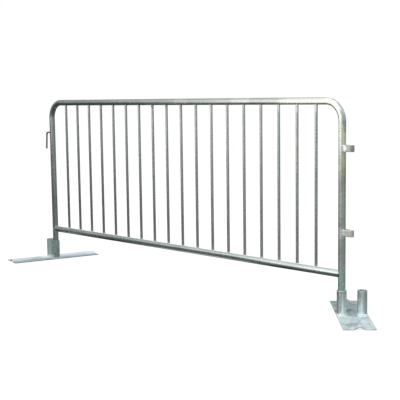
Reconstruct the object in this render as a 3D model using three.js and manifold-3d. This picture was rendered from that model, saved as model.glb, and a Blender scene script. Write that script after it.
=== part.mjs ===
// Crowd control barrier: a bent steel frame tube with a straight bottom rail and eighteen upright bars,
// a drop hook on one leg, two eyes on the other, and two loose swivelling feet.
// Millimetres, +Z up. X runs along the barrier, Y through it, and Z = 0 is the ground.
import * as THREE from "three";
import { mergeVertices } from "three/addons/utils/BufferGeometryUtils.js";
import Module from "manifold-3d";

// ---- driving dimensions -------------------------------------------------
const HEIGHT = 1100; // ground to the top of the top rail
const LEG_SPACING = 2462; // axis to axis of the two legs
const TUBE_OD = 38; // frame tube and bottom rail
const TUBE_WALL = 1.6;
const CORNER_RADIUS = 102; // centre line of the two bent top corners
const RAIL_Z = 211; // axis of the bottom rail
const BAR_COUNT = 18;
const BAR_PITCH = 125.5;
const BAR_OD = 16;
const BAR_WALL = 1.2;

const HOOK_ROD = 12; // diameter of the bent rod
const HOOK_REACH = 67.5; // leg axis to the axis of the rod just below its bend
const HOOK_LEAN = 4; // degrees that the hanging rod leans away from the leg
const HOOK_Z = 878; // axis of the rod where it leaves the leg
const HOOK_TIP_Z = 765; // lower end of the hanging rod
const HOOK_BEND = 13; // centre line of the bend

const EYE_REACH = 71; // leg axis to the outermost point of the eye
const EYE_WIDTH = 30; // over the two sides of the strap
const EYE_STRAP = 5; // thickness of the flat strap
const EYE_HEIGHT = 34;
const UPPER_EYE_Z = 846; // middle of the upper eye
const LOWER_EYE_Z = 423; // middle of the lower eye

const PLATE_LENGTH = 615;
const PLATE_WIDTH = 160;
const PLATE_THICK = 4.5;
const RIDGE_WIDTH = 56; // over the foot of the pressed ridge
const RIDGE_RISE = 14.5; // clear height under the ridge
const SOCKET_OD = 50;
const SOCKET_WALL = 3.5;
const SOCKET_TOP = 128; // mouth of a socket above the ground
const SOCKET_PITCH = 104; // leg socket to spare socket

const LEFT_SWIVEL = -14.2; // degrees about +Z that each foot is turned to
const RIGHT_SWIVEL = 43.5;

const GAP = 0.3; // left between pieces that are welded or touch
const ORIGIN_X = 52; // bottom centre of the whole object's box, from the middle of the two legs
const ORIGIN_Y = 12.76;

// ---- helpers ------------------------------------------------------------
const wasm = await Module();
wasm.setup();

const R = TUBE_OD / 2;
const LEFT_X = -LEG_SPACING / 2;
const RIGHT_X = LEG_SPACING / 2;
const TOP_Z = HEIGHT - R;
const rad = THREE.MathUtils.degToRad;

// A closed geometry as a solid, whichever way its faces were wound.
function solid(geometry) {
  const g = geometry.clone();
  g.deleteAttribute("normal");
  g.deleteAttribute("uv");
  const m = mergeVertices(g, 1e-3);
  const triVerts = new Uint32Array(m.index.array);
  const vertProperties = new Float32Array(m.attributes.position.array);
  const make = () =>
    new wasm.Manifold(new wasm.Mesh({ numProp: 3, vertProperties, triVerts }));
  let made = make();
  if (made.volume() < 0) {
    for (let i = 0; i < triVerts.length; i += 3)
      [triVerts[i + 1], triVerts[i + 2]] = [triVerts[i + 2], triVerts[i + 1]];
    made = make();
  }
  return made;
}

// A solid back to a geometry.
function geometryOf(body) {
  const m = body.getMesh();
  const v = new Float32Array(m.numVert * 3);
  for (let i = 0; i < m.numVert; i++)
    v.set(m.vertProperties.subarray(i * m.numProp, i * m.numProp + 3), i * 3);
  const g = new THREE.BufferGeometry();
  g.setAttribute("position", new THREE.BufferAttribute(v, 3));
  g.setIndex(new THREE.BufferAttribute(new Uint32Array(m.triVerts), 1));
  g.computeVertexNormals();
  return g;
}

const ring = (r, n) =>
  Array.from(
    { length: n },
    (_, i) =>
      new THREE.Vector2(
        r * Math.cos((2 * Math.PI * i) / n),
        r * Math.sin((2 * Math.PI * i) / n),
      ),
  );

// A round section, hollow where a bore radius is given.
function section(r, bore, n) {
  const s = new THREE.Shape(ring(r, n));
  if (bore > 0) s.holes.push(new THREE.Path(ring(bore, n).reverse()));
  return s;
}

// A route through straights and round bends whose steps fall exactly on the given points.
class Route extends THREE.Curve {
  constructor(points) {
    super();
    this.points = points;
    this.tangents = points.map((p, i) => {
      const a = points[Math.max(0, i - 1)],
        b = points[Math.min(points.length - 1, i + 1)];
      const back = new THREE.Vector3().subVectors(p, a).normalize();
      const on = new THREE.Vector3().subVectors(b, p).normalize();
      return back.add(on).normalize();
    });
  }
  at(list, t) {
    const k = t * (list.length - 1),
      i = Math.min(list.length - 2, Math.floor(k + 1e-9));
    return new THREE.Vector3().lerpVectors(list[i], list[i + 1], k - i);
  }
  getPoint(t, target = new THREE.Vector3()) {
    return target.copy(this.at(this.points, t));
  }
  getPointAt(u, target = new THREE.Vector3()) {
    return target.copy(this.at(this.points, u));
  }
  getTangentAt(u, target = new THREE.Vector3()) {
    return target.copy(this.at(this.tangents, u).normalize());
  }
}

// Points of a round bend in the XZ plane, about a centre, from one angle to another (degrees).
function bend(cx, cz, r, from, to, steps) {
  const out = [];
  for (let i = 0; i <= steps; i++) {
    const a = rad(from + ((to - from) * i) / steps);
    out.push(
      new THREE.Vector3(cx + r * Math.cos(a), 0, cz + r * Math.sin(a)),
    );
  }
  return out;
}

const along = (points, r, bore, n) =>
  new THREE.ExtrudeGeometry(section(r, bore, n), {
    extrudePath: new Route(points),
    steps: points.length - 1,
    bevelEnabled: false,
  });

// A solid cylinder along Z or X, used to cope an end to the tube that it meets.
function cutter(r, length, n, alongX) {
  const g = new THREE.CylinderGeometry(r, r, length, n);
  if (alongX) g.rotateZ(Math.PI / 2);
  else g.rotateX(Math.PI / 2);
  return solid(g);
}

const steel = (color, roughness, metalness = 0.9) =>
  new THREE.MeshStandardMaterial({ color, roughness, metalness });

function piece(name, geometry, material, parent) {
  const m = new THREE.Mesh(geometry, material);
  m.name = name;
  parent.add(m);
  return m;
}

// ---- the panel ----------------------------------------------------------
const barrier = new THREE.Group();
const panel = new THREE.Group();
barrier.add(panel);

const LEG_BOTTOM = PLATE_THICK + GAP; // the legs stand on the foot plates

// One tube up the left leg, over the top and down the right leg, open at both ends.
{
  const c = CORNER_RADIUS;
  const route = [
    new THREE.Vector3(LEFT_X, 0, LEG_BOTTOM),
    ...bend(LEFT_X + c, TOP_Z - c, c, 180, 90, 10),
    ...bend(RIGHT_X - c, TOP_Z - c, c, 90, 0, 10),
    new THREE.Vector3(RIGHT_X, 0, LEG_BOTTOM),
  ];
  piece(
    "frame_tube",
    along(route, R, R - TUBE_WALL, 24),
    steel(0x9aa09c, 0.38),
    panel,
  );
}

// The legs as cutters, a hair larger than the tube.
const legCutter = (x) =>
  cutter(R + GAP, 2 * HEIGHT, 48, false).translate([x, 0, 0]);

// Bottom rail: a straight tube coped round both legs.
{
  const rail = new THREE.ExtrudeGeometry(section(R, R - TUBE_WALL, 24), {
    depth: LEG_SPACING,
    bevelEnabled: false,
  });
  rail.rotateY(Math.PI / 2);
  rail.translate(LEFT_X, 0, RAIL_Z);
  const cut = solid(rail)
    .subtract(legCutter(LEFT_X))
    .subtract(legCutter(RIGHT_X));
  // The cut leaves the tube's own end inside each leg: only the length between the legs is kept.
  const keep = cut
    .decompose()
    .sort((a, b) => b.volume() - a.volume())[0];
  piece("bottom_rail", geometryOf(keep), steel(0xa9afab, 0.36), panel);
}

// Upright bars, coped on to the bottom rail and into the underside of the top rail.
{
  const railCut = cutter(R + GAP, 400, 40, true);
  const tube = new THREE.ExtrudeGeometry(
    section(BAR_OD / 2, BAR_OD / 2 - BAR_WALL, 16),
    { depth: TOP_Z - RAIL_Z, bevelEnabled: false },
  );
  tube.translate(0, 0, RAIL_Z);
  const bar = geometryOf(
    solid(tube)
      .subtract(railCut.translate([0, 0, RAIL_Z]))
      .subtract(railCut.translate([0, 0, TOP_Z])),
  );
  const first = -((BAR_COUNT - 1) * BAR_PITCH) / 2;
  for (let i = 0; i < BAR_COUNT; i++) {
    const m = piece(
      "bar_" + String(i + 1).padStart(2, "0"),
      bar,
      steel(0x959b98, 0.42),
      panel,
    );
    m.position.x = first + i * BAR_PITCH;
  }
}

// Drop hook on the left leg: a round rod out of the leg, bent down, its hanging end leaning a little away.
{
  const lean = rad(HOOK_LEAN);
  const x = LEFT_X - HOOK_REACH,
    centre = x + HOOK_BEND * Math.cos(lean),
    end = HOOK_Z - HOOK_BEND * (1 - Math.sin(lean));
  const drop = end - HOOK_TIP_Z;
  const route = [
    new THREE.Vector3(LEFT_X, 0, HOOK_Z),
    ...bend(centre, HOOK_Z - HOOK_BEND, HOOK_BEND, 90, 180 - HOOK_LEAN, 8),
    new THREE.Vector3(x - drop * Math.tan(lean), 0, HOOK_TIP_Z),
  ];
  const rod = solid(along(route, HOOK_ROD / 2, 0, 16)).subtract(
    legCutter(LEFT_X),
  );
  piece("coupling_hook", geometryOf(rod), steel(0x8f9592, 0.4), panel);
}

// Eyes on the right leg: a flat strap bent to a U, its open side welded to the leg.
function eye(name, z) {
  const w = EYE_WIDTH / 2,
    t = EYE_STRAP,
    c = EYE_REACH - w;
  const s = new THREE.Shape();
  s.moveTo(R / 2, -w);
  s.lineTo(c, -w);
  for (let i = 1; i < 12; i++) {
    const a = rad(-90 + (180 * i) / 12);
    s.lineTo(c + w * Math.cos(a), w * Math.sin(a));
  }
  s.lineTo(c, w);
  s.lineTo(R / 2, w);
  s.lineTo(R / 2, w - t);
  s.lineTo(c, w - t);
  for (let i = 1; i < 12; i++) {
    const a = rad(90 - (180 * i) / 12);
    s.lineTo(c + (w - t) * Math.cos(a), (w - t) * Math.sin(a));
  }
  s.lineTo(c, t - w);
  s.lineTo(R / 2, t - w);
  const g = new THREE.ExtrudeGeometry(s, {
    depth: EYE_HEIGHT,
    bevelEnabled: false,
  });
  g.translate(RIGHT_X, 0, z - EYE_HEIGHT / 2);
  const body = solid(g).subtract(legCutter(RIGHT_X));
  piece(name, geometryOf(body), steel(0x9da39f, 0.45), panel);
}
eye("upper_eye", UPPER_EYE_Z);
eye("lower_eye", LOWER_EYE_Z);

// ---- the feet -----------------------------------------------------------
// Outline of the pressed plate across its length: flat, ridge, flat. With a clearance it is the cutter for a socket's lower end.
function plateOutline(clearance) {
  const half = PLATE_WIDTH / 2 + clearance,
    foot = RIDGE_WIDTH / 2,
    slope = Math.atan2(RIDGE_RISE, foot),
    t = PLATE_THICK + clearance;
  const shift = t * Math.tan(slope / 2);
  const s = new THREE.Shape();
  const low = -clearance;
  s.moveTo(-half, low);
  if (clearance > 0) {
    s.lineTo(half, low);
  } else {
    s.lineTo(-foot, 0);
    s.lineTo(-1.2, RIDGE_RISE * (1 - 1.2 / foot));
    s.lineTo(1.2, RIDGE_RISE * (1 - 1.2 / foot));
    s.lineTo(foot, 0);
    s.lineTo(half, 0);
  }
  s.lineTo(half, t);
  s.lineTo(foot + shift, t);
  const crown = RIDGE_RISE + t / Math.cos(slope);
  const blunt = 5;
  s.lineTo(blunt, crown - blunt * Math.tan(slope));
  s.lineTo(0, crown - 0.55 * blunt * Math.tan(slope));
  s.lineTo(-blunt, crown - blunt * Math.tan(slope));
  s.lineTo(-foot - shift, t);
  s.lineTo(-half, t);
  return s;
}

function plateGeometry(clearance) {
  const length = PLATE_LENGTH + 2 * clearance;
  const g = new THREE.ExtrudeGeometry(plateOutline(clearance), {
    depth: length,
    bevelEnabled: false,
  });
  g.translate(0, 0, -length / 2);
  g.rotateX(Math.PI / 2); // the outline's y becomes z, its depth runs along -y
  return g;
}

// One foot about its leg socket's axis. side is +1 where the spare socket lies to +X before the foot is turned.
function foot(name, legX, side, swivel) {
  const g = new THREE.Group();
  g.position.set(legX, 0, 0);
  g.rotation.z = rad(swivel);
  barrier.add(g);
  const mid = (side * SOCKET_PITCH) / 2;
  const plate = piece(
    name + "_foot_plate",
    plateGeometry(0),
    steel(0xc3c9cc, 0.4, 0.8),
    g,
  );
  plate.position.x = mid;
  const clear = solid(plateGeometry(GAP));
  const tube = new THREE.ExtrudeGeometry(
    section(SOCKET_OD / 2, SOCKET_OD / 2 - SOCKET_WALL, 32),
    { depth: SOCKET_TOP, bevelEnabled: false },
  );
  for (const [kind, x] of [
    ["_leg_socket", 0],
    ["_spare_socket", side * SOCKET_PITCH],
  ]) {
    const cut = solid(tube).subtract(clear.translate([mid - x, 0, 0]));
    const kept = cut
      .decompose()
      .sort((a, b) => b.volume() - a.volume())[0];
    piece(name + kind, geometryOf(kept), steel(0xa3a9a8, 0.34), g).position.x =
      x;
  }
}
foot("left", LEFT_X, -1, LEFT_SWIVEL);
foot("right", RIGHT_X, 1, RIGHT_SWIVEL);

barrier.position.set(-ORIGIN_X, -ORIGIN_Y, 0);
const part = new THREE.Group();
part.add(barrier);

export default part;
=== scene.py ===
"""Crowd control barrier: the looks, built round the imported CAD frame. Metres, +Z up."""
import bpy, math
import numpy as np
from mathutils import Vector, Matrix, noise


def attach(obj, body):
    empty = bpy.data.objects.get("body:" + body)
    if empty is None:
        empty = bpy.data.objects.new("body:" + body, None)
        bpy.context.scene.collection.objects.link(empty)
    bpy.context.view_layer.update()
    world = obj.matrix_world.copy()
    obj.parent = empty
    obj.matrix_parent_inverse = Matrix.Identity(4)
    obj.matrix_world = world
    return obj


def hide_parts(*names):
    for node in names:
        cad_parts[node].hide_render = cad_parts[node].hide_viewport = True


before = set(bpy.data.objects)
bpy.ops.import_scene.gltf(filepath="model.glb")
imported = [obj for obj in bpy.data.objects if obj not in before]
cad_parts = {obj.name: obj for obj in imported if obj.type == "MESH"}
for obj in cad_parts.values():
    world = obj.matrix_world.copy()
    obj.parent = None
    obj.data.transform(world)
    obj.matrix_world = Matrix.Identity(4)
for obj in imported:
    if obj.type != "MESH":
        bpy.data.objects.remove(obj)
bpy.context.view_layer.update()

# ---- sizes, as in the CAD -------------------------------------------------
LX, RX, PY = -1.283, 1.179, -0.01276      # leg axes
R = 0.019                                  # frame tube and bottom rail
WALL = 0.0016
TOP_Z, RAIL_Z = 1.081, 0.211
CORNER = 0.102
LEG_BOTTOM = 0.0048
BAR_R, BAR_WALL, PITCH = 0.008, 0.0012, 0.1255
BARS = [-17 * PITCH / 2 + i * PITCH - 0.052 for i in range(18)]
ROD = 0.006
PLATE_L, PLATE_W, PLATE_T = 0.615, 0.160, 0.0045
RIDGE_W, RIDGE_H = 0.056, 0.0145
SOCK_R, SOCK_WALL, SOCK_TOP, SOCK_PITCH = 0.025, 0.0035, 0.128, 0.104
FEET = {"left": (LX, -1, math.radians(-14.2)), "right": (RX, 1, math.radians(43.5))}
GAP = 0.0003
rng = np.random.default_rng(7)


# ---- mesh helpers ---------------------------------------------------------
def add_mesh(name, verts, faces, material, body, sharp=38, smooth=True):
    me = bpy.data.meshes.new(name)
    me.from_pydata([tuple(map(float, v)) for v in verts], [], faces)
    me.validate()
    if smooth:
        me.polygons.foreach_set("use_smooth", [True] * len(me.polygons))
        me.set_sharp_from_angle(angle=math.radians(sharp))
    me.materials.append(material)
    me.update()
    ob = bpy.data.objects.new(name, me)
    bpy.context.scene.collection.objects.link(ob)
    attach(ob, body)
    return ob


def grid_faces(m, n, close_v, offset=0, flip=False):
    """Quads between m rings of n points."""
    f = []
    for i in range(m if close_v else m - 1):
        a, b = i * n, ((i + 1) % m) * n
        for j in range(n):
            k = (j + 1) % n
            q = (offset + a + j, offset + b + j, offset + b + k, offset + a + k)
            f.append(q[::-1] if flip else q)
    return f


def outward(verts, faces):
    """The faces turned so that the closed mesh has a positive volume."""
    v = np.asarray(verts, float)
    vol = 0.0
    for f in faces:
        a = v[f[0]]
        for i in range(1, len(f) - 1):
            vol += np.dot(a, np.cross(v[f[i]], v[f[i + 1]]))
    return faces if vol > 0 else [tuple(reversed(f)) for f in faces]


def solid(rings, closed):
    """Vertices and faces of a loft of rings: closed on itself, or with its two ends capped by a fan."""
    rings = np.asarray(rings, float)
    m, n, _ = rings.shape
    verts = rings.reshape(-1, 3)
    faces = grid_faces(m, n, closed)
    if not closed:
        for ring, flip in ((0, False), (m - 1, True)):
            c = len(verts)
            verts = np.vstack([verts, rings[ring].mean(0)[None]])
            for j in range(n):
                t = (c, ring * n + j, ring * n + (j + 1) % n)
                faces.append(t[::-1] if flip else t)
    return verts, outward(verts, faces)


def frames(points, closed=False, ref=(0, 1, 0)):
    """Tangent and two cross directions along a line of points."""
    p = np.asarray(points, float)
    if closed:
        t = np.roll(p, -1, 0) - np.roll(p, 1, 0)
    else:
        t = np.gradient(p, axis=0)
    t /= np.linalg.norm(t, axis=1)[:, None]
    ref = np.asarray(ref, float)
    a = np.cross(np.broadcast_to(ref, t.shape), t)
    a /= np.maximum(np.linalg.norm(a, axis=1), 1e-9)[:, None]
    b = np.cross(t, a)
    return p, t, a, b


def n3(p, scale, seed=0.0):
    return noise.noise(Vector((p[0] * scale + seed, p[1] * scale - 1.7 * seed, p[2] * scale + 0.3 * seed)))


def bead_closed(points, radius, ref, lump=0.18, sides=10, seed=0.0, ripple=0.0016, squash=1.0):
    """A weld bead round a closed line: lumpy, with fine ripples."""
    p, t, a, b = frames(points, True, ref)
    n = len(p)
    out = []
    s = np.cumsum(np.linalg.norm(p - np.roll(p, 1, 0), axis=1))
    for i in range(n):
        r = radius * (1 + lump * n3(p[i], 160, seed) + 0.6 * lump * n3(p[i], 420, seed + 5) + 0.07 * math.sin(2 * math.pi * s[i] / ripple))
        ring = []
        for k in range(sides):
            q = 2 * math.pi * k / sides
            ring.append(p[i] + r * (a[i] * math.cos(q) + b[i] * math.sin(q) * squash))
        out.append(ring)
    return solid(out, True)


def bead_open(points, radius, ref, lump=0.2, sides=10, seed=0.0, ripple=0.0016):
    """A weld bead along an open line, rounded off at both ends."""
    p, t, a, b = frames(points, False, ref)
    n = len(p)
    out = []
    s = np.concatenate([[0], np.cumsum(np.linalg.norm(np.diff(p, axis=0), axis=1))])
    for i in range(n):
        e = min(s[i], s[-1] - s[i])
        end = math.sqrt(max(0.0, 1 - (1 - min(1.0, e / (1.2 * radius))) ** 2)) * 0.94 + 0.06
        r = radius * end * (1 + lump * n3(p[i], 160, seed) + 0.5 * lump * n3(p[i], 420, seed + 5) + 0.07 * math.sin(2 * math.pi * s[i] / ripple))
        out.append([p[i] + r * (a[i] * math.cos(2 * math.pi * k / sides) + b[i] * math.sin(2 * math.pi * k / sides)) for k in range(sides)])
    return solid(out, False)


def join(parts):
    verts, faces = [], []
    off = 0
    for v, f in parts:
        verts.append(np.asarray(v))
        faces += [tuple(i + off for i in q) for q in f]
        off += len(v)
    return np.vstack(verts), faces


# ---- materials ------------------------------------------------------------
def node_material(name):
    m = bpy.data.materials.new(name)
    m.use_nodes = True
    nt = m.node_tree
    for n in list(nt.nodes):
        nt.nodes.remove(n)
    out = nt.nodes.new("ShaderNodeOutputMaterial")
    bsdf = nt.nodes.new("ShaderNodeBsdfPrincipled")
    nt.links.new(bsdf.outputs["BSDF"], out.inputs["Surface"])
    return m, nt, bsdf


class Graph:
    def __init__(self, nt):
        self.nt = nt

    def new(self, kind, **values):
        n = self.nt.nodes.new(kind)
        for k, v in values.items():
            setattr(n, k, v)
        return n

    def link(self, a, b):
        self.nt.links.new(a, b)

    def put(self, value, socket):
        if hasattr(value, "is_linked") or isinstance(value, bpy.types.NodeSocket):
            self.link(value, socket)
        else:
            socket.default_value = value

    def math(self, op, a, b=0.0, clamp=False):
        n = self.new("ShaderNodeMath", operation=op, use_clamp=clamp)
        self.put(a, n.inputs[0])
        if op not in ("ABSOLUTE", "SQRT"):
            self.put(b, n.inputs[1])
        return n.outputs[0]

    def range(self, v, a, b, c, d, smooth=False):
        n = self.new("ShaderNodeMapRange", interpolation_type="SMOOTHSTEP" if smooth else "LINEAR")
        self.link(v, n.inputs["Value"])
        for k, x in (("From Min", a), ("From Max", b), ("To Min", c), ("To Max", d)):
            n.inputs[k].default_value = x
        return n.outputs["Result"]

    def mix(self, f, a, b, mode="MIX"):
        n = self.new("ShaderNodeMix", data_type="RGBA", blend_type=mode)
        self.put(f, n.inputs[0])
        for v, i in ((a, 6), (b, 7)):
            if isinstance(v, tuple):
                n.inputs[i].default_value = (*v, 1.0)
            else:
                self.link(v, n.inputs[i])
        return n.outputs[2]

    def noise(self, vec, scale, detail=3.0, rough=0.5, distortion=0.0):
        n = self.new("ShaderNodeTexNoise")
        self.link(vec, n.inputs["Vector"])
        n.inputs["Scale"].default_value = scale
        n.inputs["Detail"].default_value = detail
        n.inputs["Roughness"].default_value = rough
        n.inputs["Distortion"].default_value = distortion
        return n.outputs["Fac"]

    def coords(self, scale=(1, 1, 1), offset=(0, 0, 0)):
        t = self.new("ShaderNodeTexCoord")
        m = self.new("ShaderNodeMapping")
        self.link(t.outputs["Object"], m.inputs["Vector"])
        m.inputs["Scale"].default_value = scale
        m.inputs["Location"].default_value = offset
        return m.outputs["Vector"]

    def drawn(self, turn, stretch):
        """Coordinates of a piece turned about z, drawn out along its own y."""
        t = self.new("ShaderNodeTexCoord")
        m = self.new("ShaderNodeMapping", vector_type="TEXTURE")
        self.link(t.outputs["Object"], m.inputs["Vector"])
        m.inputs["Rotation"].default_value = (0.0, 0.0, turn)
        m.inputs["Scale"].default_value = (1.0, stretch, 1.0)
        return m.outputs["Vector"]

    def spangle(self, vec, scale):
        """Zinc crystals: each cell has its own tone. Gives a tone and a second, unrelated tone."""
        warp = self.new("ShaderNodeTexNoise")
        self.link(vec, warp.inputs["Vector"])
        warp.inputs["Scale"].default_value = scale * 0.9
        warp.inputs["Detail"].default_value = 2.0
        add = self.new("ShaderNodeVectorMath", operation="MULTIPLY_ADD")
        self.link(warp.outputs["Color"], add.inputs[0])
        add.inputs[1].default_value = (0.5 / scale,) * 3
        self.link(vec, add.inputs[2])
        v = self.new("ShaderNodeTexVoronoi", feature="F1")
        self.link(add.outputs[0], v.inputs["Vector"])
        v.inputs["Scale"].default_value = scale
        sep = self.new("ShaderNodeSeparateColor")
        self.link(v.outputs["Color"], sep.inputs[0])
        return sep.outputs[0], sep.outputs[1]

    def spot(self, vec_socket, centre, radius):
        """1 at a point, falling to 0 at a distance."""
        d = self.new("ShaderNodeVectorMath", operation="DISTANCE")
        self.link(vec_socket, d.inputs[0])
        d.inputs[1].default_value = centre
        return self.range(d.outputs["Value"], radius * 0.35, radius, 1.0, 0.0, True)


def zinc(name, dark, mid, light, metallic, rough, cell=0.012, streak=None, cloud=0.16, fine=1.0, patches=(), bump=1.0, zones=(), mottle=1.0, crystal=0.36, run=None):
    """Hot-dip galvanised steel: clouds of dull and bright zinc, crystals, streaks where it ran off, and a fine grain.
    patches: (centre, radius, colour, strength) where the colour is locally brighter or duller: spots in the zinc, and
    painted highlights and painted shade.
    zones: (direction, from, to, factor, raggedness), where the colour changes along the piece: changes in the zinc, and
    painted shade and painted light.
    run: (turn about z, stretch), when the clouds and crystals are drawn out along a turned piece."""
    m, nt, bsdf = node_material(name)
    g = Graph(nt)
    obj = g.coords()
    drawn = g.drawn(*run) if run else obj
    tone, tone2 = g.spangle(drawn, 1.0 / cell)
    big = g.noise(drawn, 1.0 / cloud, 4.0, 0.55, 0.6)
    mott = g.noise(drawn, 1.0 / (cell * 2.6), 5.0, 0.62, 0.4)
    grain = g.noise(obj, 900.0, 2.0, 0.5)
    level = g.math("MULTIPLY", g.math("SUBTRACT", big, 0.5), 1.5)
    level = g.math("ADD", level, g.math("MULTIPLY", g.math("SUBTRACT", mott, 0.5), 1.1 * mottle))
    level = g.math("ADD", level, g.math("MULTIPLY", g.math("SUBTRACT", tone, 0.5), crystal))
    level = g.math("ADD", level, g.math("MULTIPLY", g.math("SUBTRACT", grain, 0.5), 0.25 * fine))
    if streak:
        st = g.noise(g.coords(streak), 1.0, 5.0, 0.6, 0.15)
        level = g.math("ADD", level, g.math("MULTIPLY", g.math("SUBTRACT", st, 0.5), 1.0))
    low = g.range(level, -0.55, 0.0, 0.0, 1.0, True)
    high = g.range(level, 0.02, 0.62, 0.0, 1.0, True)
    colour = g.mix(high, g.mix(low, dark, mid), light)
    for centre, radius, tint, strength in patches:
        s = g.spot(obj, centre, radius)
        ragged = g.range(g.math("ADD", s, g.math("MULTIPLY", g.math("SUBTRACT", mott, 0.5), 0.9)), 0.25, 0.75, 0.0, strength, True)
        colour = g.mix(ragged, colour, tint)
    for direction, lo, hi, factor, rag in zones:
        d = g.new("ShaderNodeVectorMath", operation="DOT_PRODUCT")
        g.link(obj, d.inputs[0])
        d.inputs[1].default_value = direction
        at = g.math("ADD", d.outputs["Value"], g.math("MULTIPLY", g.math("SUBTRACT", mott, 0.5), rag * abs(hi - lo)))
        colour = g.mix(g.range(at, lo, hi, 0.0, 1.0, True), colour, g.mix(1.0, colour, factor, "MULTIPLY"))
    g.link(colour, bsdf.inputs["Base Color"])
    r = g.math("ADD", g.range(tone2, 0.0, 1.0, rough[0], rough[1]), g.math("MULTIPLY", g.math("SUBTRACT", mott, 0.5), 0.16))
    g.link(g.math("ADD", r, g.math("MULTIPLY", g.math("SUBTRACT", grain, 0.5), 0.08), clamp=True), bsdf.inputs["Roughness"])
    bsdf.inputs["Metallic"].default_value = metallic
    height = g.math("ADD", g.math("MULTIPLY", mott, mottle), g.math("MULTIPLY", grain, 0.20))
    height = g.math("ADD", height, g.math("MULTIPLY", tone, 0.12))
    if streak:
        height = g.math("ADD", height, g.math("MULTIPLY", st, 0.5))
    b = g.new("ShaderNodeBump")
    b.inputs["Strength"].default_value = 0.35 * bump
    b.inputs["Distance"].default_value = 0.0008
    g.link(height, b.inputs["Height"])
    g.link(b.outputs["Normal"], bsdf.inputs["Normal"])
    return m


def on_foot(name, x, y, z=0.005):
    """A point of a foot, x from its leg towards its spare socket, in the model's frame."""
    lx, side, swivel = FEET[name]
    ca, sa = math.cos(swivel), math.sin(swivel)
    return (lx + side * x * ca - y * sa, PY + side * x * sa + y * ca, z)


def across(name, along=False):
    """The direction across a foot's ridge, or along it, and how far the leg is along that direction."""
    lx, side, swivel = FEET[name]
    d = (-math.sin(swivel), math.cos(swivel), 0.0) if along else (math.cos(swivel), math.sin(swivel), 0.0)
    return d, lx * d[0] + PY * d[1]


GLINTS = ((0.03, 0.09, 0.35), (0.50, 0.10, 0.40))    # painted highlights (glints) along the top rail: x, reach, strength
WARM_HIGHLIGHT = (0.97, 0.972, 0.85)
WHITISH = (0.90, 0.93, 0.92)
COOL = (0.86, 0.94, 0.96)
STAIN = (0.30, 0.35, 0.35)
# corner: a painted warm highlight round the right top corner of the frame tube.
corner = [((1.13, -0.02, 1.06), 0.50, WARM_HIGHLIGHT, 0.9)]
# roots: lighter, whitish patches where the eyes meet the leg.
roots = [((RX + 0.002, PY - 0.018, 0.846), 0.034, WHITISH, 0.95), ((RX - 0.002, PY - 0.018, 0.418), 0.044, WHITISH, 0.85)]
# shade_left: painted shade, darker towards the left end of the barrier.
shade_left = ((-1.0, 0.0, 0.0), -RX * 0.5, -LX, (0.69, 0.69, 0.69), 0.25)
teal_foot = ((0.0, 0.0, -1.0), -0.30, -0.14, (0.87, 1.02, 1.01), 0.8)
# leg_foot_highlight: painted highlight, lighter low on the right leg above its socket.
leg_foot_highlight = ((0.1, 0.0, -1.0), -0.20, -0.05, (1.18, 1.20, 1.20), 0.8)
# top_shade: painted shade, darker along the top of the frame tube.
top_shade = ((0.0, 0.0, 1.0), 1.045, 1.06, (0.90, 0.90, 0.90), 0.6)
# crest_shade: painted shade, a darker crest along the top rail.
crest_shade = ((0.006, 0.0, 1.0), 1.0885, 1.0950, (0.76, 0.77, 0.77), 0.3)
# olive_shade: painted shade, olive-dark low on the right side of the frame tube.
olive_shade = ((0.5, 0.0, -1.0), -0.262, -0.225, (0.82, 0.82, 0.77), 0.5)
# right_leg_lit_low: painted light, lighter again lower down on the right leg.
right_leg_lit_low = ((0.5, 0.0, -1.0), -0.10, 0.03, (1.19, 1.20, 1.26), 0.5)
bar_feet = ((0.0, 0.0, -1.0), -0.247, -0.237, (1.42, 1.42, 1.40), 1.2)
# bar_low_shade: painted shade, the bars darker towards the bottom.
bar_low_shade = ((0.0, 0.0, -1.0), -0.88, -0.42, (0.88, 0.855, 0.86), 0.25)
BX, BZ = RX - 0.102, TOP_Z - 0.102      # centre of the right bend
# outside_shade: painted shade on the outer side of the right bend.
outside_shade = [((BX + 0.1443 * math.cos(math.radians(q)), PY + 0.004, BZ + 0.1443 * math.sin(math.radians(q))), r, (0.40, 0.465, 0.49), k) for q, r, k in ((-14, 0.042, 0.7), (4, 0.058, 0.85), (24, 0.058, 0.85), (44, 0.052, 0.8), (62, 0.044, 0.7))]
glints = [((x, PY - 0.017, TOP_Z + 0.004), r, (0.95, 0.97, 0.96), k) for x, r, k in GLINTS]
tube_z = zinc("galvanised_tube", (0.48, 0.52, 0.505), (0.64, 0.685, 0.67), (0.80, 0.84, 0.83), 0.94, (0.24, 0.33), streak=(12, 60, 12), zones=[shade_left, top_shade, crest_shade, olive_shade, right_leg_lit_low, teal_foot, leg_foot_highlight], patches=corner + outside_shade + roots + glints, mottle=0.28, crystal=0.08, bump=0.35, fine=0.6)
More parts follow.
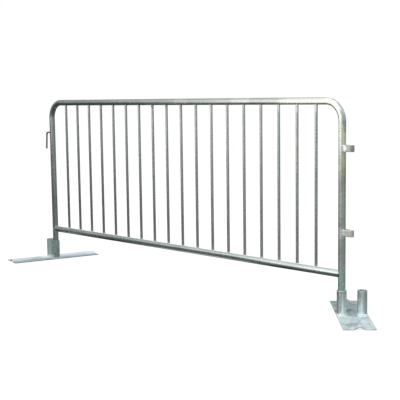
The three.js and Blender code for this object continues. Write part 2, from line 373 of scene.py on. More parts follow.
# The dark patch at the right end of the bottom rail is painted shade in its joint with the leg.
tube_x = zinc("galvanised_rail", (0.42, 0.475, 0.465), (0.56, 0.62, 0.61), (0.74, 0.79, 0.78), 0.94, (0.22, 0.32), streak=(3, 90, 90), zones=[shade_left], patches=[((RX - R - 0.004, PY, RAIL_Z), 0.016, (0.05, 0.055, 0.055), 0.95)], mottle=0.30, crystal=0.08, bump=0.35, fine=0.6)
bar_m = zinc("galvanised_bar", (0.43, 0.455, 0.445), (0.585, 0.615, 0.60), (0.78, 0.80, 0.79), 0.94, (0.24, 0.35), cell=0.009, streak=(110, 110, 3.5), zones=[shade_left, bar_low_shade, bar_feet], mottle=0.20, crystal=0.05, bump=0.22, fine=0.5)
fit_m = zinc("galvanised_fitting", (0.32, 0.33, 0.32), (0.46, 0.465, 0.455), (0.66, 0.66, 0.65), 0.88, (0.34, 0.50), cell=0.008, patches=[((RX + 0.018, PY - 0.015, 0.846), 0.028, WHITISH, 0.95), ((RX + 0.022, PY - 0.015, 0.428), 0.034, WHITISH, 0.9), ((RX + 0.060, PY - 0.012, 0.424), 0.050, (0.80, 0.78, 0.74), 0.9)], mottle=0.8)
hook_m = zinc("galvanised_hook", (0.24, 0.25, 0.245), (0.34, 0.35, 0.345), (0.48, 0.49, 0.485), 0.90, (0.34, 0.48), cell=0.008, mottle=0.6)


def socket_zinc(name, mid, patches):
    k = lambda f: tuple(min(0.95, c * f) for c in mid)
    return zinc(name, k(0.72), mid, k(1.30), 0.90, (0.26, 0.38), cell=0.010, streak=(70, 70, 6), patches=patches, mottle=0.55, crystal=0.30, bump=0.7)


# The left sockets get a darker copy of the socket zinc and the right sockets a lighter one: painted shade and painted
# light.
sock_m = {
    "right": socket_zinc("galvanised_socket_right", (0.74, 0.86, 0.87), [(on_foot("right", 0.014, -0.022, 0.008), 0.098, COOL, 1.0), (on_foot("right", 0.090, -0.022, 0.010), 0.094, COOL, 1.0),
        (on_foot("right", 0.009, -0.024, 0.068), 0.040, COOL, 0.8), (on_foot("right", 0.095, -0.023, 0.058), 0.042, COOL, 0.8)]),
    "left": socket_zinc("galvanised_socket_left", (0.52, 0.605, 0.61), [(on_foot("left", 0.104, -0.02, 0.0), 0.040, COOL, 0.5), (on_foot("left", 0.112, -0.018, 0.085), 0.082, (0.74, 0.82, 0.82), 0.9)]),
}


def plate_zinc(name, mid, patches, zones, run, mottle, crystal, bump):
    k = lambda f: tuple(min(0.95, c * f) for c in mid)
    return zinc(name, k(0.66), mid, k(1.26), 0.62, (0.34, 0.52), cell=0.016, cloud=0.07, patches=patches, zones=zones, run=run, mottle=mottle, crystal=crystal, bump=bump)


d_r, at_r = across("right", True)
d_l, at_l = across("left")
plate_m = {
    "right": plate_zinc("galvanised_plate_right", (0.60, 0.675, 0.70), [
        (on_foot("right", 0.0, -0.036), 0.050, COOL, 0.7), (on_foot("right", 0.104, -0.036), 0.050, COOL, 0.7)]
        + [(on_foot("right", x, y, 0.012 if 0.03 < x < 0.075 else 0.005), r, STAIN, k) for x, y, r, k in (
            (0.010, -0.225, 0.028, 0.60), (0.060, -0.104, 0.026, 0.55), (0.053, -0.064, 0.032, 0.95), (0.040, -0.026, 0.034, 0.85), (0.126, -0.062, 0.022, 0.5),
            (0.056, 0.004, 0.038, 0.9), (0.036, 0.045, 0.036, 0.85), (0.078, 0.060, 0.026, 0.5), (-0.014, 0.068, 0.034, 0.8),
            (0.060, 0.120, 0.022, 0.5), (0.004, 0.200, 0.036, 0.85), (0.080, 0.205, 0.034, 0.75), (0.030, 0.160, 0.024, 0.6), (0.046, 0.255, 0.022, 0.45), (0.002, 0.268, 0.026, 0.6))],
        [(d_r, at_r + 0.010, at_r + 0.040, (0.50, 0.575, 0.56), 2.4)], (FEET["right"][2], 2.2), 1.0, 0.75, 1.0),
    "left": plate_zinc("galvanised_plate_left", (0.59, 0.645, 0.69), [
        (on_foot("left", 0.052, -0.07, 0.018), 0.04, COOL, 0.5), (on_foot("left", 0.052, 0.01, 0.018), 0.055, STAIN, 0.6), (on_foot("left", 0.052, 0.28), 0.070, (0.90, 0.93, 0.95), 0.35)],
        # In the left plate's zones, the thin dark band along the near edge is a painted shadow of that edge.
        [(d_l, at_l - 0.052 + 0.012, at_l - 0.052 + 0.036, (0.64, 0.67, 0.69), 2.4), (d_l, at_l - 0.052 + 0.0782, at_l - 0.052 + 0.0798, (0.55, 0.57, 0.62), 0.0)], (FEET["left"][2], 4.0), 0.45, 0.30, 0.5),
}
# The dark patch on the right rail-end weld is painted shade.
weld_rail_m = zinc("zinc_weld_rail", (0.40, 0.44, 0.44), (0.58, 0.63, 0.63), (0.74, 0.78, 0.78), 0.75, (0.34, 0.46), cell=0.004, bump=0.8, patches=[((RX - R, PY - 0.010, RAIL_Z - 0.010), 0.034, (0.03, 0.035, 0.035), 0.97)])
weld_m = zinc("zinc_weld", (0.60, 0.65, 0.65), (0.78, 0.83, 0.835), (0.90, 0.94, 0.945), 0.55, (0.36, 0.50), cell=0.004, bump=0.8)

# ---- camera ---------------------------------------------------------------
F_PX, YAW, PITCH_A, ROLL = 917.2256, -0.7986, 0.1127, -0.0134
CAM = Vector((3.9475, -3.7005, 1.1124))
fwd = Vector((math.sin(YAW) * math.cos(PITCH_A), math.cos(YAW) * math.cos(PITCH_A), -math.sin(PITCH_A)))
rgt = Vector((math.cos(YAW), -math.sin(YAW), 0))
up = rgt.cross(fwd)
rgt, up = math.cos(ROLL) * rgt + math.sin(ROLL) * up, -math.sin(ROLL) * rgt + math.cos(ROLL) * up
cam = bpy.data.objects.new("camera", bpy.data.cameras.new("camera"))
cam.data.sensor_width = 36.0
cam.data.lens = 36.0 * F_PX / 400.0
cam.data.clip_end = 200
cam.matrix_world = Matrix(((rgt.x, up.x, -fwd.x, CAM.x), (rgt.y, up.y, -fwd.y, CAM.y), (rgt.z, up.z, -fwd.z, CAM.z), (0, 0, 0, 1)))
bpy.context.scene.collection.objects.link(cam)
bpy.context.scene.camera = cam


# ---- tubes ----------------------------------------------------------------
def ring_at(c, a, b, r, n):
    q = 2 * np.pi * np.arange(n) / n
    return c + r * (np.cos(q)[:, None] * a + np.sin(q)[:, None] * b)


def tube_along(points, ref, r, bore, n, oval=None):
    """A hollow tube along a line, with softened rims. oval gives how much each station is flattened in the plane of its bend."""
    p, t, a, b = frames(points, False, ref)
    soft = 0.0004
    outer, inner = [], []
    m = len(p)
    for i in range(m):
        o = 0.0 if oval is None else oval[i]
        outer.append(ring_at(p[i], a[i] * (1 - o), b[i] * (1 + 0.25 * o), r, n))
        inner.append(ring_at(p[i], a[i] * (1 - o), b[i] * (1 + 0.25 * o), bore, n))
    d0, d1 = -t[0], t[-1]
    first = [ring_at(p[0] + d0 * soft * (1 - k), a[0], b[0], rr, n) for rr, k in ((r - soft, 0),)]
    last = [ring_at(p[-1] + d1 * soft, a[-1], b[-1], r - soft, n)]
    first_in = [ring_at(p[0] + d0 * soft, a[0], b[0], bore + soft, n)]
    last_in = [ring_at(p[-1] + d1 * soft, a[-1], b[-1], bore + soft, n)]
    rings = first + outer + last + last_in + inner[::-1] + first_in
    return solid(rings, True)


def arc(cx, cz, r, a0, a1, n):
    return [(cx + r * math.cos(math.radians(a0 + (a1 - a0) * i / n)), PY, cz + r * math.sin(math.radians(a0 + (a1 - a0) * i / n))) for i in range(n + 1)]


def straight(p, q, n, ends=False):
    return [tuple(np.array(p) * (1 - i / n) + np.array(q) * (i / n)) for i in range(0 if ends else 1, n + (1 if ends else 0))]


soft = 0.0004
RT = R - 0.00003
route = straight((LX, PY, LEG_BOTTOM + soft), (LX, PY, TOP_Z - CORNER), 24, True)[:-1]
route += arc(LX + CORNER, TOP_Z - CORNER, CORNER, 180, 90, 26)
route += straight((LX + CORNER, PY, TOP_Z), (RX - CORNER, PY, TOP_Z), 60)
route += arc(RX - CORNER, TOP_Z - CORNER, CORNER, 90, 0, 26)
route += straight((RX, PY, TOP_Z - CORNER), (RX, PY, LEG_BOTTOM + soft), 24, True)[1:]
oval = []
for x, y, z in route:
    for cx in (LX + CORNER, RX - CORNER):
        dx = abs(x - cx)
        inside = z > TOP_Z - CORNER - 1e-6 and ((cx < 0 and x < cx + 1e-6) or (cx > 0 and x > cx - 1e-6))
        if inside:
            ang = math.degrees(math.atan2(z - (TOP_Z - CORNER), dx + 1e-9))
            oval.append(0.035 * math.sin(math.radians(2 * ang)) ** 0.8 if 0.5 < ang < 89.5 else 0.0)
            break
    else:
        oval.append(0.0)
v, f = tube_along(route, (0, 1, 0), RT, R - WALL, 48, oval)
ob = add_mesh("frame_tube_galvanised", v, f, tube_z, "panel")
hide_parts("frame_tube")


def coped(axis, ends, r, bore, n, stations, place):
    """A straight tube whose two ends follow the tubes that they meet. ends(c, s, rr) gives the two end positions for a point at (c, s) * rr of the section; place puts (along, c, s) into space."""
    q = 2 * np.pi * np.arange(n) / n
    c, s = np.cos(q), np.sin(q)

    def ring(rr, t, inset=0.0):
        lo, hi = ends(c * rr, s * rr)
        lo, hi = lo + inset, hi - inset
        return place(lo + (hi - lo) * t, c * rr, s * rr)
    ts = np.linspace(0, 1, stations)
    e = 0.0004
    rings = [ring(r - e, 0.0)]
    rings += [ring(r, t, e) for t in ts]
    rings += [ring(r - e, 1.0), ring(bore + e, 1.0)]
    rings += [ring(bore, t, e) for t in ts[::-1]]
    rings += [ring(bore + e, 0.0)]
    return solid(rings, True)


# bottom rail
def rail_ends(c, s):       # c is y, s is z, both from the axis
    d = np.sqrt(np.maximum(0, (R + GAP) ** 2 - c ** 2))
    return LX + d, RX - d


v, f = coped("x", rail_ends, RT, R - WALL, 48, 60, lambda t, c, s: np.stack([t, PY + c, RAIL_Z + s], 1))
ob = add_mesh("bottom_rail_galvanised", v, f, tube_x, "panel")
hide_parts("bottom_rail")

# bars
for i, bx in enumerate(BARS):
    def bar_ends(c, s):
        d = np.sqrt((R + GAP) ** 2 - s ** 2)
        return RAIL_Z + d, TOP_Z - d
    v, f = coped("z", bar_ends, BAR_R - 0.00002, BAR_R - BAR_WALL, 32, 30, lambda t, c, s: np.stack([bx + c, PY + s, t], 1))
    ob = add_mesh("bar_%02d_galvanised" % (i + 1), v, f, bar_m, "panel")
    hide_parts("bar_%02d" % (i + 1))


# ---- welds of the panel ---------------------------------------------------
def saddle(bx, r, zc, sign, n=56):
    q = 2 * np.pi * np.arange(n) / n
    y = r * np.sin(q)
    return np.stack([bx + r * np.cos(q), PY + y, zc + sign * np.sqrt(R * R - y * y)], 1)


low, top = [], []
for i, bx in enumerate(BARS):
    low.append(bead_closed(saddle(bx, BAR_R + 0.0006, RAIL_Z, 1), 0.0026, (0, 0, 1), 0.35, 10, 3.1 * i))
    top.append(bead_closed(saddle(bx, BAR_R + 0.0003, TOP_Z, -1), 0.0017, (0, 0, 1), 0.35, 8, 50 + 3.1 * i))
v, f = join(low)
add_mesh("bar_welds_lower", v, f, weld_m, "panel")
v, f = join(top)
add_mesh("bar_welds_upper", v, f, weld_m, "panel")


def leg_saddle(lx, sign, r, zc, n=72):
    """The line where a tube of radius r along X meets a leg."""
    q = 2 * np.pi * np.arange(n) / n
    y = r * np.cos(q)
    return np.stack([lx + sign * np.sqrt(np.maximum(0, (R + 0.0002) ** 2 - np.minimum(np.abs(y), R * 0.985) ** 2)), PY + y, zc + r * np.sin(q)], 1)


parts = [bead_closed(leg_saddle(LX, 1, R, RAIL_Z), 0.0024, (1, 0.02, 0), 0.3, 10, 7), bead_closed(leg_saddle(RX, -1, R, RAIL_Z), 0.0024, (1, 0.02, 0), 0.3, 10, 19)]
v, f = join(parts)
add_mesh("rail_end_welds", v, f, weld_rail_m, "panel")

# ---- hook -----------------------------------------------------------------
HOOK_REACH, LEAN, HOOK_Z, TIP_Z, BEND = 0.0675, math.radians(4), 0.878, 0.765, 0.013
hx = LX - HOOK_REACH
hc = hx + BEND * math.cos(LEAN)
line = [(LX - R + 0.0008, PY, HOOK_Z)] + [(LX - R - (LX - R - hc) * k / 5, PY, HOOK_Z) for k in range(1, 5)]
line += [(hc + BEND * math.cos(a), PY, HOOK_Z - BEND + BEND * math.sin(a)) for a in np.linspace(math.pi / 2, math.pi - LEAN, 16)]
end = HOOK_Z - BEND * (1 - math.sin(LEAN))
drop = end - TIP_Z
line += [(hx - drop * k / 10 * math.tan(LEAN), PY, end - drop * k / 10) for k in range(1, 11)]
p, t, a, b = frames(line, False, (0, 1, 0))
rings = [ring_at(p[i], a[i], b[i], ROD - 0.00002, 28) for i in range(len(p))]
tip = p[-1]
rings = rings[:-1]
for back, rr in ((0.0022, 1.0), (0.0012, 0.93), (0.0004, 0.74), (0.0, 0.42)):
    rings.append(ring_at(tip - t[-1] * back, a[-1], b[-1], ROD * rr, 28))
v, f = solid(rings, False)
ob = add_mesh("coupling_hook_galvanised", v, f, hook_m, "panel")
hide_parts("coupling_hook")
n = 40
q = 2 * np.pi * np.arange(n) / n
yy = (ROD + 0.0004) * np.cos(q)
v, f = bead_closed(np.stack([LX - np.sqrt(R * R - yy ** 2), PY + yy, HOOK_Z + (ROD + 0.0004) * np.sin(q)], 1), 0.0026, (1, 0, 0), 0.35, 10, 91)
add_mesh("hook_weld", v, f, weld_m, "panel")

# ---- eyes -----------------------------------------------------------------
EYE_REACH, EYE_W, EYE_T, EYE_H = 0.071, 0.030, 0.005, 0.034


def eye(name, z):
    c = RX + EYE_REACH - EYE_W / 2
    mid = EYE_W / 2 - EYE_T / 2
    path = [(RX + 0.0185 + (c - RX - 0.0185) * k / 6, PY - mid) for k in range(7)]
    path += [(c + mid * math.cos(a), PY + mid * math.sin(a)) for a in np.linspace(-math.pi / 2, math.pi / 2, 21)[1:-1]]
    path += [(c - (c - RX - 0.0185) * k / 6, PY + mid) for k in range(7)]
    path = np.array(path)
    t = np.gradient(path, axis=0)
    t /= np.linalg.norm(t, axis=1)[:, None]
    nrm = np.stack([t[:, 1], -t[:, 0]], 1)
    # rounded rectangle: across the strap, and its height
    e = 0.0011
    section = []
    for sx, sz, a0 in ((1, 1, 0), (-1, 1, 90), (-1, -1, 180), (1, -1, 270)):
        for k in range(5):
            a = math.radians(a0 + 22.5 * k)
            section.append((sx * (EYE_T / 2 - e) + e * math.cos(a), sz * (EYE_H / 2 - e) + e * math.sin(a)))
    # more points along the tall sides
    full = []
    m = len(section)
    for k in range(m):
        p0, p1 = section[k], section[(k + 1) % m]
        full.append(p0)
        if abs(p1[1] - p0[1]) > 0.02:
            for j in range(1, 8):
                full.append((p0[0], p0[1] + (p1[1] - p0[1]) * j / 8))
    rings = []
    for i in range(len(path)):
        ring = []
        for w, h in full:
            x, y = path[i] + nrm[i] * w
            if i in (0, len(path) - 1):     # the ends sit on the leg
                x = RX + math.sqrt(max(0.0, (R + GAP) ** 2 - (y - PY) ** 2))
            ring.append((x, y, z + h))
        rings.append(ring)
    v, f = solid(rings, False)
    ob = add_mesh(name + "_galvanised", v, f, fit_m, "panel")
    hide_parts(name)
    parts = []
    for side in (-1, 1):
        y = PY + side * (EYE_W / 2 + 0.0006)
        x = RX + math.sqrt(R * R - (EYE_W / 2) ** 2) + 0.0006
        pts = [(x, y, z - EYE_H / 2 + 0.001 + (EYE_H - 0.002) * k / 40) for k in range(41)]
        parts.append(bead_open(pts, 0.0036, (0, 1, 0), 0.35, 12, 11 + z * 10 + side))
    v, f = join(parts)
    add_mesh(name + "_welds", v, f, weld_m, "panel")


eye("upper_eye", 0.846)
eye("lower_eye", 0.423)

# ---- feet -----------------------------------------------------------------
SLOPE = math.atan2(RIDGE_H, RIDGE_W / 2)


def plate_profile():
    """Centre line of the pressed plate across its width, as (u, z), with round bends."""
    t = PLATE_T / 2
    knots = [(-PLATE_W / 2, t), (-RIDGE_W / 2 - 0.0006, t), (0, t + RIDGE_H), (RIDGE_W / 2 + 0.0006, t), (PLATE_W / 2, t)]
    radii = [0, 0.010, 0.0085, 0.010, 0]
    pts = [knots[0]]
    for k in (1, 2, 3):
        a, b, c = (np.array(knots[j], float) for j in (k - 1, k, k + 1))
        u, w = (a - b) / np.linalg.norm(a - b), (c - b) / np.linalg.norm(c - b)
        ang = math.acos(np.clip(np.dot(u, w), -1, 1))
        d = radii[k] / math.tan(ang / 2)
        s, e = b + u * d, b + w * d
        bis = (u + w) / np.linalg.norm(u + w)
        centre = b + bis * (radii[k] / math.sin(ang / 2))
        v0, v1 = s - centre, e - centre
        a0 = math.atan2(v0[1], v0[0])
        da = (math.atan2(v1[1], v1[0]) - a0 + math.pi) % (2 * math.pi) - math.pi
        for j in range(9):
            q = a0 + da * j / 8
            pts.append(tuple(centre + radii[k] * np.array([math.cos(q), math.sin(q)])))
    pts.append(knots[-1])
    # fill the straights
    out = [pts[0]]
    for p0, p1 in zip(pts[:-1], pts[1:]):
        L = math.hypot(p1[0] - p0[0], p1[1] - p0[1])
        n = max(1, round(L / 0.006))
        for j in range(1, n + 1):
            out.append((p0[0] + (p1[0] - p0[0]) * j / n, p0[1] + (p1[1] - p0[1]) * j / n))
    return np.array(out)


PROFILE = plate_profile()
_t = np.gradient(PROFILE, axis=0)
_t /= np.linalg.norm(_t, axis=1)[:, None]
NORMAL = np.stack([-_t[:, 1], _t[:, 0]], 1)


def top_of_plate(u):
    z = PROFILE[:, 1] + NORMAL[:, 1] * PLATE_T / 2
    x = PROFILE[:, 0] + NORMAL[:, 0] * PLATE_T / 2
    return float(np.interp(u, x, z))


def place_foot(name):
    lx, side, swivel = FEET[name]
    ca, sa = math.cos(swivel), math.sin(swivel)

    def put(p):
        p = np.asarray(p, float)
        out = p.copy()
        out[..., 0] = lx + p[..., 0] * ca - p[..., 1] * sa
        out[..., 1] = PY + p[..., 0] * sa + p[..., 1] * ca
        return out
    return put, side


def foot(name):
    put, side = place_foot(name)
    mid = side * SOCK_PITCH / 2
    # plate: rings across the width, stacked along its length, with a softened cut edge all round
    e = 0.0007
    upper = PROFILE + NORMAL * PLATE_T / 2
    lower = PROFILE - NORMAL * PLATE_T / 2

    def ring(v, inset):
        corner = 0.004
        d = PLATE_L / 2 - abs(v)
        pull = corner - math.sqrt(max(0.0, corner ** 2 - (corner - min(d, corner)) ** 2))
        toe = RIDGE_W / 2 + 0.012

        def fit(u):
            w = np.abs(u)
            k = (PLATE_W / 2 - pull - inset - toe) / (PLATE_W / 2 - toe)
            return np.where(w > toe, np.sign(u) * (toe + (w - toe) * k), u)
        up_, lo_ = upper.copy(), lower.copy()
        up_ = PROFILE + NORMAL * (PLATE_T / 2 - inset)
        lo_ = PROFILE - NORMAL * (PLATE_T / 2 - inset)
        m = len(PROFILE)
        loop = [(fit(up_[k, 0]), up_[k, 1]) for k in range(m)]
        h = PLATE_T / 2 - inset
        edge = [(PLATE_W / 2 - pull - inset * 1.0, PLATE_T / 2 + h * q) for q in (0.55, 0.0, -0.55)]
        # the long cut edges bulge by the softening
        loop[0] = (loop[0][0] + 0.0005, loop[0][1])
        loop[-1] = (loop[-1][0] - 0.0005, loop[-1][1])
        lo = [(fit(lo_[k, 0]), lo_[k, 1]) for k in range(m)][::-1]
        lo[0] = (lo[0][0] - 0.0005, lo[0][1])
        lo[-1] = (lo[-1][0] + 0.0005, lo[-1][1])
        loop += edge + lo + [(-a, b) for a, b in edge[::-1]]
        pts = np.array([(mid + a, v, b) for a, b in loop], float)
        return pts
    vs = [-PLATE_L / 2, -PLATE_L / 2 + e * 0.4, -PLATE_L / 2 + e]
    vs += [-PLATE_L / 2 + x for x in (0.002, 0.003, 0.004)]
    vs += list(np.linspace(-PLATE_L / 2 + 0.012, PLATE_L / 2 - 0.012, 84))
    vs += [PLATE_L / 2 - x for x in (0.004, 0.003, 0.002, e, e * 0.4, 0.0)]
    rings = []
    for v in vs:
        d = PLATE_L / 2 - abs(v)
        inset = 0.0 if d >= e else e - math.sqrt(max(0.0, e * e - (e - d) ** 2))
        rings.append(ring(v, inset * 0.9))
    rings = np.array(rings)
    # end caps follow the plate's own section, so they are strips between its upper and lower edges
    m, n, _ = rings.shape
    verts = rings.reshape(-1, 3)
    faces = grid_faces(m, n, False)
    k = len(PROFILE)
    for r0, flip in ((0, False), (m - 1, True)):
        o = r0 * n
        top_i = [o + j for j in range(k)]
        e1 = [o + k + j for j in range(3)]
        bot = [o + k + 3 + j for j in range(k)][::-1]
        e2 = [o + 2 * k + 3 + j for j in range(3)][::-1]
        strip = [(top_i[j], top_i[j + 1], bot[j + 1], bot[j]) for j in range(k - 1)]
        strip += [(top_i[-1], e1[0], e1[1], e1[2], bot[-1]), (bot[0], e2[2], e2[1], e2[0], top_i[0])]
        faces += [tuple(reversed(q)) if flip else q for q in strip]
    world = put(verts)
    faces = outward(world, faces)
    ob = add_mesh(name + "_foot_plate_galvanised", world, faces, plate_m[name], name + "_foot", sharp=50)
    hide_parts(name + "_foot_plate")
    # sockets
    welds = []
    for kind, cx in (("leg", 0.0), ("spare", side * SOCK_PITCH)):
        n = 64
        q = 2 * np.pi * np.arange(n) / n
        c, s = np.cos(q), np.sin(q)
        base = lambda r: np.array([top_of_plate(cx + r * cc - mid) for cc in c]) + GAP
        bore = SOCK_R - SOCK_WALL
        e2 = 0.0007

        def rg(r, z):
            return np.stack([cx + r * c, r * s, np.broadcast_to(z, c.shape)], 1)
        rings = [rg(SOCK_R - 0.00002, base(SOCK_R) + (SOCK_TOP - e2 - base(SOCK_R)) * t) for t in np.linspace(0, 1, 16)]
        for a in (30, 60, 90):
            a = math.radians(a)
            rings.append(rg(SOCK_R - e2 * (1 - math.cos(a)), SOCK_TOP - e2 * (1 - math.sin(a))))
        for a in (90, 60, 30):
            a = math.radians(a)
            rings.append(rg(bore + e2 * (1 - math.cos(a)), SOCK_TOP - e2 * (1 - math.sin(a))))
        rings += [rg(bore, base(bore) + (SOCK_TOP - e2 - base(bore)) * t) for t in np.linspace(1, 0, 16)]
        v, f = solid(rings, True)
        v = put(v)
        ob = add_mesh("%s_%s_socket_galvanised" % (name, kind), v, outward(v, f), sock_m[name], name + "_foot")
        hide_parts("%s_%s_socket" % (name, kind))
        n = 110
        q = 2 * np.pi * np.arange(n) / n
        rr = SOCK_R + 0.0008
        pts = np.stack([cx + rr * np.cos(q), rr * np.sin(q), [top_of_plate(cx + rr * math.cos(x) - mid) + 0.0008 for x in q]], 1)
        v, f = bead_closed(pts, 0.0034, (0, 0, 1), 0.3, 12, 23 + 9 * cx + (5 if name == "left" else 0), 0.0022)
        welds.append((put(v), f))
    v, f = join(welds)
    add_mesh(name + "_socket_welds", v, outward(v, f), weld_m, name + "_foot")


foot("left")
foot("right")

# ---- floor, light ---------------------------------------------------------
m, nt, bsdf = node_material("pale_floor")
g = Graph(nt)
tone = g.range(g.noise(g.coords(), 2.0, 3.0), 0.3, 0.7, 0.19, 0.21)
col = g.new("ShaderNodeCombineColor")
for i in range(3):
    g.link(tone, col.inputs[i])
g.link(col.outputs[0], bsdf.inputs["Base Color"])
bsdf.inputs["Roughness"].default_value = 0.9
bsdf.inputs["Specular IOR Level"].default_value = 0.0
bsdf.inputs["Emission Color"].default_value = (1, 1, 1, 1)
bsdf.inputs["Emission Strength"].default_value = 0.82
me = bpy.data.meshes.new("floor")
S = 60.0
me.from_pydata([(-S, -S, -0.0002), (S, -S, -0.0002), (S, S, -0.0002), (-S, S, -0.0002)], [], [(0, 1, 2, 3)])
me.materials.append(m)
floor = bpy.data.objects.new("floor", me)
bpy.context.scene.collection.objects.link(floor)
floor.visible_glossy = False
floor.visible_diffuse = False

# Soft surroundings: bright overhead and to the front, a duller side on the left, dark below.
world = bpy.data.worlds.new("studio")
bpy.context.scene.world = world
world.use_nodes = True
nt = world.node_tree
for n_ in list(nt.nodes):
    nt.nodes.remove(n_)
g = Graph(nt)
out = g.new("ShaderNodeOutputWorld")
tc = g.new("ShaderNodeTexCoord")
dirn = tc.outputs["Generated"]
sep = g.new("ShaderNodeSeparateXYZ")
g.link(dirn, sep.inputs[0])
X, Y, Z = sep.outputs


def ramp(v, stops):
    r = g.new("ShaderNodeValToRGB")
    g.link(v, r.inputs[0])
    cr = r.color_ramp
    while len(cr.elements) > 1:
        cr.elements.remove(cr.elements[0])
    top_v = max(max(c) for _, c in stops)
    for i, (pos, c) in enumerate(stops):
        e_ = cr.elements[0] if i == 0 else cr.elements.new(pos)
        e_.position = pos
        e_.color = tuple(x / top_v for x in c) + (1,)
    mul = g.new("ShaderNodeVectorMath", operation="SCALE")
    g.link(r.outputs[0], mul.inputs[0])
    mul.inputs["Scale"].default_value = top_v
    return mul.outputs[0]


def blend_rgb(f, a, b):
    n = g.new("ShaderNodeMix", data_type="RGBA")
    n.clamp_result = False
    g.link(f, n.inputs[0])
    for v, i in ((a, 6), (b, 7)):
        if isinstance(v, tuple):
            n.inputs[i].default_value = (*v, 1.0)
        else:
            g.link(v, n.inputs[i])
    return n.outputs[2]


def dot(v):
    n = g.new("ShaderNodeVectorMath", operation="DOT_PRODUCT")
    g.link(dirn, n.inputs[0])
    n.inputs[1].default_value = v
    return n.outputs["Value"]


left_side = ramp(Z, [(0.0, (0.44, 0.47, 0.46)), (0.20, (0.44, 0.47, 0.46)), (0.38, (0.28, 0.305, 0.30)), (0.48, (0.30, 0.325, 0.32)), (0.66, (0.52, 0.555, 0.545)), (0.80, (0.95, 1.0, 1.0)), (1.0, (1.3, 1.3, 1.3))])
bright = g.range(dot((-0.5256, 0.508, -0.490)), -0.04, -0.15, 0.0, 1.0, True)
back = g.range(Y, 0.25, 0.60, 0.0, 1.0, True)
right_side = ramp(Z, [(0.0, (0.73, 0.77, 0.72)), (0.10, (0.65, 0.69, 0.665)), (0.30, (0.67, 0.725, 0.735)), (0.55, (0.87, 0.945, 0.965)), (0.80, (1.25, 1.32, 1.33)), (1.0, (1.5, 1.52, 1.45))])
front = blend_rgb(g.range(X, 0.10, 0.40, 0.0, 1.0, True), (1.5, 1.52, 1.40), right_side)
sky = blend_rgb(bright, left_side, front)
back_sky = ramp(Z, [(0.0, (0.42, 0.45, 0.45)), (0.12, (0.50, 0.55, 0.58)), (0.30, (0.80, 0.86, 0.91)), (1.0, (1.05, 1.08, 1.1))])
sky = blend_rgb(back, sky, back_sky)
ground_front = ramp(g.math("MULTIPLY", Z, -1.0), [(0.0, (0.42, 0.44, 0.40)), (0.10, (0.34, 0.365, 0.34)), (0.20, (0.22, 0.245, 0.24)), (0.42, (0.10, 0.11, 0.105)), (1.0, (0.075, 0.085, 0.08))])
ground_left = ramp(g.math("MULTIPLY", Z, -1.0), [(0.0, (0.11, 0.12, 0.115)), (0.20, (0.09, 0.10, 0.095)), (0.45, (0.07, 0.08, 0.075)), (1.0, (0.07, 0.08, 0.075))])
ground_back = ramp(g.math("MULTIPLY", Z, -1.0), [(0.0, (0.27, 0.29, 0.275)), (0.20, (0.19, 0.205, 0.195)), (1.0, (0.06, 0.07, 0.065))])
ground = blend_rgb(g.range(dot((-0.97, -0.26, 0.0)), 0.72, 0.88, 0.0, 1.0, True), ground_front, ground_left)
ground = blend_rgb(g.range(Y, -0.05, 0.35, 0.0, 1.0, True), ground, ground_back)
surround = blend_rgb(g.range(Z, -0.01, 0.03, 0.0, 1.0, True), ground, sky)
bg = g.new("ShaderNodeBackground")
bg.inputs["Strength"].default_value = 1.0
g.link(surround, bg.inputs["Color"])
white = g.new("ShaderNodeBackground")
white.inputs["Color"].default_value = (1, 1, 1, 1)
white.inputs["Strength"].default_value = 1.03
lp = g.new("ShaderNodeLightPath")
mx = g.new("ShaderNodeMixShader")
g.link(lp.outputs["Is Camera Ray"], mx.inputs[0])
g.link(bg.outputs[0], mx.inputs[1])
g.link(white.outputs[0], mx.inputs[2])
g.link(mx.outputs[0], out.inputs["Surface"])


# Two cards in front of the barrier, seen only in the steel: a dull one low on the left, a bright one high on the right.
def card(name, corners, emission):
    """emission(g) gives the colour socket; corners go round the card."""
    m, nt, bsdf = node_material(name)
    g = Graph(nt)
    bsdf.inputs["Base Color"].default_value = (0, 0, 0, 1)
    bsdf.inputs["Roughness"].default_value = 1.0
    bsdf.inputs["Specular IOR Level"].default_value = 0.0
    g.link(emission(g), bsdf.inputs["Emission Color"])
    bsdf.inputs["Emission Strength"].default_value = 1.0
    me = bpy.data.meshes.new(name)
    me.from_pydata(corners, [], [tuple(range(len(corners)))])
    me.materials.append(m)
    ob = bpy.data.objects.new(name, me)
    bpy.context.scene.collection.objects.link(ob)
    for flag in ("visible_camera", "visible_diffuse", "visible_shadow", "visible_transmission"):
        setattr(ob, flag, False)


def dull(g):
    return g.mix(g.range(g.noise(g.coords(), 2.5), 0.3, 0.7, 0.0, 1.0), (0.085, 0.10, 0.095), (0.15, 0.17, 0.165))


def warm(g):
    sx = g.new("ShaderNodeSeparateXYZ")
    g.link(g.coords(), sx.inputs[0])
    sc = g.new("ShaderNodeVectorMath", operation="SCALE")
    sc.inputs[0].default_value = (1.0, 1.0, 0.94)
    tilt = g.math("ADD", sx.outputs[2], g.math("MULTIPLY", g.math("ADD", sx.outputs[0], 2.7), 0.25))
    low = g.math("MULTIPLY", g.range(sx.outputs[2], 0.0, 0.80, 0.25, 1.0, True), g.range(tilt, 0.70, 0.95, 0.6, 1.0, True))
    g.link(g.math("MULTIPLY", g.math("MULTIPLY", g.range(sx.outputs[0], -3.2, -1.2, 0.8, 2.6), g.range(sx.outputs[0], -0.25, -0.7, 0.0, 1.0, True)), low), sc.inputs["Scale"])
    return sc.outputs[0]


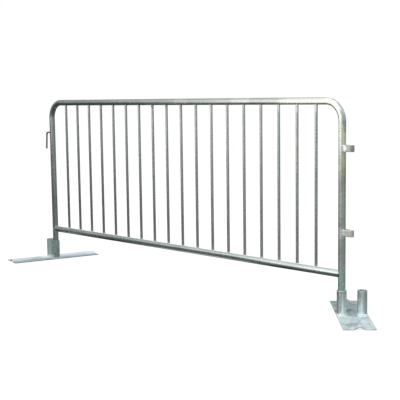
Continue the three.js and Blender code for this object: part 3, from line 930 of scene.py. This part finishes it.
def strip(g):
    sx = g.new("ShaderNodeSeparateXYZ")
    g.link(g.coords(), sx.inputs[0])
    sc = g.new("ShaderNodeVectorMath", operation="SCALE")
    sc.inputs[0].default_value = (1.0, 1.0, 0.95)
    g.link(g.math("MULTIPLY", g.range(sx.outputs[0], -0.35, 0.25, 0.25, 1.0, True), g.range(sx.outputs[0], 0.3, 1.0, 1.0, 1.3, True)), sc.inputs["Scale"])
    return sc.outputs[0]


def lit_floor(g):
    sx = g.new("ShaderNodeSeparateXYZ")
    g.link(g.coords(), sx.inputs[0])
    sc = g.new("ShaderNodeVectorMath", operation="SCALE")
    sc.inputs[0].default_value = (0.98, 1.0, 1.02)
    g.link(g.math("MULTIPLY", g.math("MULTIPLY", g.range(sx.outputs[0], -1.0, -0.15, 0.0, 1.0, True), g.range(sx.outputs[0], 0.22, 0.58, 1.0, 0.0, True)), g.math("MULTIPLY", g.range(sx.outputs[1], -0.16, -0.10, 0.0, 0.60, True), g.range(sx.outputs[1], 0.05, 0.14, 1.0, 0.0, True))), sc.inputs["Scale"])
    return sc.outputs[0]


card("dull_card", [(-2.5, -1.35, 0.0), (-0.15, -1.35, 0.0), (-0.15, -1.35, 0.62), (-0.9, -1.35, 0.84), (-1.5, -1.35, 0.98), (-2.5, -1.35, 1.03)], dull)
card("floor_card", [(-1.0, -0.16, 0.001), (0.70, -0.16, 0.001), (0.70, 0.14, 0.001), (-1.0, 0.14, 0.001)], lit_floor)
card("low_card", [(-0.9, -0.3, 0.285), (0.45, -0.3, 0.285), (0.22, -0.3, 0.42), (-0.9, -0.3, 0.42)], dull)
card("strip_card", [(-0.35, PY - 0.05, 1.047), (0.62, PY - 0.05, 1.047), (0.85, PY - 0.05, 1.020), (1.08, PY - 0.05, 1.020), (1.08, PY - 0.05, 1.066), (-0.35, PY - 0.05, 1.066)], strip)
card("bright_card", [(-3.4, -3.0, 0.0), (-0.25, -3.0, 0.0), (-0.25, -3.0, 2.1), (-3.4, -3.0, 2.1)], warm)


def area(name, at, target, size, power, colour=(1, 1, 1)):
    d = bpy.data.lights.new(name, "AREA")
    d.shape = "RECTANGLE"
    d.size, d.size_y = size
    d.energy = power
    d.color = colour
    o = bpy.data.objects.new(name, d)
    o.location = at
    o.rotation_euler = (Vector(target) - Vector(at)).to_track_quat("-Z", "Y").to_euler()
    bpy.context.scene.collection.objects.link(o)
    return o


area("overhead_softbox", (0.6, -1.6, 5.2), (0.2, 0, 0.5), (4.0, 3.0), 25)

vs_ = bpy.context.scene.view_settings
vs_.view_transform = "Standard"
vs_.look = "None"
vs_.exposure = 0.0
vs_.gamma = 1.0
